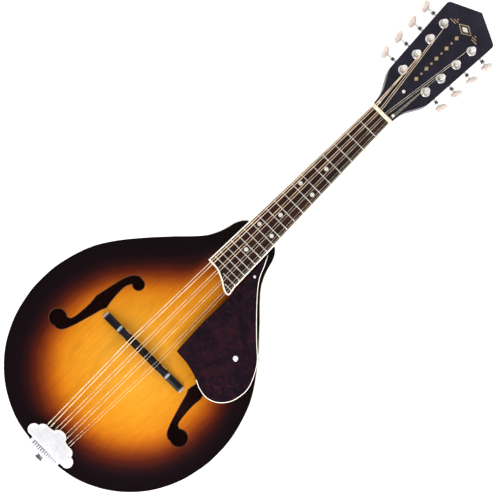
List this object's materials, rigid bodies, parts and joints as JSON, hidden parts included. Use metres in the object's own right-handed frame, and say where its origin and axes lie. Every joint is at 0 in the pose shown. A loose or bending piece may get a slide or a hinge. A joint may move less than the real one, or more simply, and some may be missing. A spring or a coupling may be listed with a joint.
{
  "type": "arch-top mandolin",
  "caption": "Arch-top, A-shaped mandolin with f-holes, raised pickguard, adjustable bridge, sliding tailpiece cover and working geared tuners.",
  "frame": {"origin": "centre of the bounding box's underside; the instrument lies on its back, on the arched back plate and the tip of the headstock", "axes": "+Y towards the headstock, +X towards the treble side, +Z out of the top"},
  "size_m": [0.2662, 0.668, 0.0915],
  "materials": {
    "spruce_top": "gloss sunburst varnish",
    "mahogany": "gloss dark red-brown varnish",
    "inner_wood": "raw wood",
    "binding": "aged cream celluloid",
    "black_overlay": "gloss black",
    "rosewood": "oiled, satin",
    "bone": "polished bone",
    "tortoise": "polished celluloid with a cream bevel",
    "ebonised_wood": "satin black",
    "brass": "turned and knurled",
    "chrome_plate": "mirror polished",
    "nickel_plate": "polished nickel, slightly dulled",
    "pearloid": "aged pearl-like celluloid",
    "rod_steel": "plain steel",
    "wound_string": "bronze wound",
    "plain_string": "plain steel wire"
  },
  "bodies": {
    "body": {"back_binding": "binding", "back_plate": "mahogany", "bass_tone_bar": "inner_wood", "bridge_base": "ebonised_wood", "fingerboard": "rosewood", "fingerboard_binding": "binding", "headstock_overlay": "black_overlay", "neck": "mahogany", "neck_block": "inner_wood", "nut": "bone", "pickguard": "tortoise", "pickguard_bracket": "nickel_plate", "rim": "mahogany", "strap_button": "chrome_plate", "string_A1": "plain_string", "string_A2": "plain_string", "string_D1": "wound_string", "string_D2": "wound_string", "string_E1": "plain_string", "string_E2": "plain_string", "string_G1": "wound_string", "string_G2": "wound_string", "tail_block": "inner_wood", "tailpiece_base": "chrome_plate", "top_binding": "binding", "top_plate": "spruce_top", "treble_tone_bar": "inner_wood", "truss_rod": "rod_steel", "truss_rod_cover": "black_overlay", "tuner_plate_bass": "nickel_plate", "tuner_plate_treble": "nickel_plate"},
    "tuner_key_G1": {"tuner_shaft_G1": "nickel_plate", "tuner_button_G1": "pearloid"},
    "string_post_G1": {"string_post_G1": "nickel_plate"},
    "tuner_key_G2": {"tuner_shaft_G2": "nickel_plate", "tuner_button_G2": "pearloid"},
    "string_post_G2": {"string_post_G2": "nickel_plate"},
    "tuner_key_D1": {"tuner_shaft_D1": "nickel_plate", "tuner_button_D1": "pearloid"},
    "string_post_D1": {"string_post_D1": "nickel_plate"},
    "tuner_key_D2": {"tuner_shaft_D2": "nickel_plate", "tuner_button_D2": "pearloid"},
    "string_post_D2": {"string_post_D2": "nickel_plate"},
    "tuner_key_A1": {"tuner_shaft_A1": "nickel_plate", "tuner_button_A1": "pearloid"},
    "string_post_A1": {"string_post_A1": "nickel_plate"},
    "tuner_key_A2": {"tuner_shaft_A2": "nickel_plate", "tuner_button_A2": "pearloid"},
    "string_post_A2": {"string_post_A2": "nickel_plate"},
    "tuner_key_E1": {"tuner_shaft_E1": "nickel_plate", "tuner_button_E1": "pearloid"},
    "string_post_E1": {"string_post_E1": "nickel_plate"},
    "tuner_key_E2": {"tuner_shaft_E2": "nickel_plate", "tuner_button_E2": "pearloid"},
    "string_post_E2": {"string_post_E2": "nickel_plate"},
    "saddle": {"bridge_saddle": "ebonised_wood"},
    "bridge_wheel_bass": {"bridge_wheel_bass": "brass"},
    "bridge_wheel_treble": {"bridge_wheel_treble": "brass"},
    "tailpiece_cover": {"tailpiece_cover": "chrome_plate"},
    "truss_rod_nut": {"truss_rod_nut": "brass"}
  },
  "joints": [
    {"name": "key_turn_G1", "type": "hinge", "parent": "body", "child": "tuner_key_G1", "pos_m": [-0.01724, 0.23353, 0.02649], "axis": [-0.9983, -0.0549, 0.0174], "continuous": true},
    {"name": "post_turn_G1", "type": "hinge", "parent": "body", "child": "string_post_G1", "pos_m": [-0.0168, 0.23173, 0.04626], "axis": [0, 0.302, 0.9533], "continuous": true},
    {"name": "key_turn_G2", "type": "hinge", "parent": "body", "child": "tuner_key_G2", "pos_m": [-0.01857, 0.25542, 0.01956], "axis": [-0.9983, -0.0549, 0.0174], "continuous": true},
    {"name": "post_turn_G2", "type": "hinge", "parent": "body", "child": "string_post_G2", "pos_m": [-0.01812, 0.25362, 0.03932], "axis": [0, 0.302, 0.9533], "continuous": true},
    {"name": "key_turn_D1", "type": "hinge", "parent": "body", "child": "tuner_key_D1", "pos_m": [-0.01989, 0.27731, 0.01262], "axis": [-0.9983, -0.0549, 0.0174], "continuous": true},
    {"name": "post_turn_D1", "type": "hinge", "parent": "body", "child": "string_post_D1", "pos_m": [-0.01945, 0.27551, 0.03239], "axis": [0, 0.302, 0.9533], "continuous": true},
    {"name": "key_turn_D2", "type": "hinge", "parent": "body", "child": "tuner_key_D2", "pos_m": [-0.02122, 0.2992, 0.00569], "axis": [-0.9983, -0.0549, 0.0174], "continuous": true},
    {"name": "post_turn_D2", "type": "hinge", "parent": "body", "child": "string_post_D2", "pos_m": [-0.02077, 0.2974, 0.02545], "axis": [0, 0.302, 0.9533], "continuous": true},
    {"name": "key_turn_A1", "type": "hinge", "parent": "body", "child": "tuner_key_A1", "pos_m": [0.02122, 0.2992, 0.00569], "axis": [0.9983, -0.0549, 0.0174], "continuous": true},
    {"name": "post_turn_A1", "type": "hinge", "parent": "body", "child": "string_post_A1", "pos_m": [0.02077, 0.2974, 0.02545], "axis": [0, 0.302, 0.9533], "continuous": true},
    {"name": "key_turn_A2", "type": "hinge", "parent": "body", "child": "tuner_key_A2", "pos_m": [0.01989, 0.27731, 0.01262], "axis": [0.9983, -0.0549, 0.0174], "continuous": true},
    {"name": "post_turn_A2", "type": "hinge", "parent": "body", "child": "string_post_A2", "pos_m": [0.01945, 0.27551, 0.03239], "axis": [0, 0.302, 0.9533], "continuous": true},
    {"name": "key_turn_E1", "type": "hinge", "parent": "body", "child": "tuner_key_E1", "pos_m": [0.01857, 0.25542, 0.01956], "axis": [0.9983, -0.0549, 0.0174], "continuous": true},
    {"name": "post_turn_E1", "type": "hinge", "parent": "body", "child": "string_post_E1", "pos_m": [0.01812, 0.25362, 0.03932], "axis": [0, 0.302, 0.9533], "continuous": true},
    {"name": "key_turn_E2", "type": "hinge", "parent": "body", "child": "tuner_key_E2", "pos_m": [0.01724, 0.23353, 0.02649], "axis": [0.9983, -0.0549, 0.0174], "continuous": true},
    {"name": "post_turn_E2", "type": "hinge", "parent": "body", "child": "string_post_E2", "pos_m": [0.0168, 0.23173, 0.04626], "axis": [0, 0.302, 0.9533], "continuous": true},
    {"name": "saddle_lift", "type": "slide", "parent": "body", "child": "saddle", "axis": [0, 0, 1], "range_m": [-0.0015, 0]},
    {"name": "wheel_turn_bass", "type": "hinge", "parent": "saddle", "child": "bridge_wheel_bass", "pos_m": [-0.027, -0.174, 0.082], "axis": [0, 0, 1], "range_deg": [-772, 0]},
    {"name": "wheel_turn_treble", "type": "hinge", "parent": "saddle", "child": "bridge_wheel_treble", "pos_m": [0.027, -0.174, 0.082], "axis": [0, 0, 1], "range_deg": [-772, 0]},
    {"name": "cover_slide", "type": "slide", "parent": "body", "child": "tailpiece_cover", "axis": [0, 0.9807, 0.1957], "range_m": [0, 0.02]},
    {"name": "truss_rod_nut_turn", "type": "hinge", "parent": "body", "child": "truss_rod_nut", "pos_m": [0, 0.19664, 0.05281], "axis": [0, 0.9981, -0.061], "range_deg": [-180, 180]}
  ],
  "couplings": [
    {"joint": "post_turn_G1", "follows": "key_turn_G1", "ratio": -0.071429},
    {"joint": "post_turn_G2", "follows": "key_turn_G2", "ratio": -0.071429},
    {"joint": "post_turn_D1", "follows": "key_turn_D1", "ratio": -0.071429},
    {"joint": "post_turn_D2", "follows": "key_turn_D2", "ratio": -0.071429},
    {"joint": "post_turn_A1", "follows": "key_turn_A1", "ratio": 0.071429},
    {"joint": "post_turn_A2", "follows": "key_turn_A2", "ratio": 0.071429},
    {"joint": "post_turn_E1", "follows": "key_turn_E1", "ratio": 0.071429},
    {"joint": "post_turn_E2", "follows": "key_turn_E2", "ratio": 0.071429},
    {"joint": "wheel_turn_bass", "follows": "saddle_lift", "rad_per_m": 8976},
    {"joint": "wheel_turn_treble", "follows": "saddle_lift", "rad_per_m": 8976}
  ]
}
